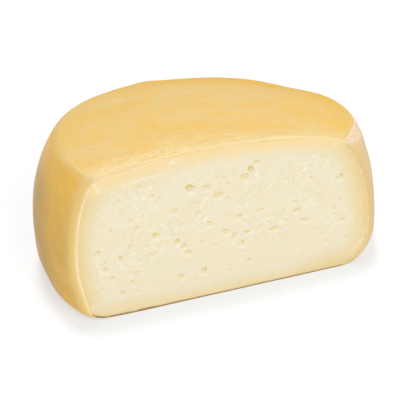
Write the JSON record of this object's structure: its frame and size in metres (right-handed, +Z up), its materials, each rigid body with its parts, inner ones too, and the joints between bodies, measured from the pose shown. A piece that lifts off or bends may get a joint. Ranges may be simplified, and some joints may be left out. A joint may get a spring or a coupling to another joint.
{
  "type": "cut cheese wheel",
  "caption": "Cut wheel of semi-soft cheese with a smooth amber rind, crowned top and rounded sides, and an upright ivory cut face with small scattered eyes.",
  "frame": {"origin": "bottom centre of the bounding box, on the surface that the cheese stands on", "axes": "+Z up, -Y straight out of the cut face, +X to the right of someone who looks at the cut face"},
  "size_m": [0.2014, 0.1456, 0.0896],
  "materials": {
    "rind": "satin",
    "paste": "matte"
  },
  "bodies": {
    "root": {"cheese": "rind"}
  },
  "joints": []
}
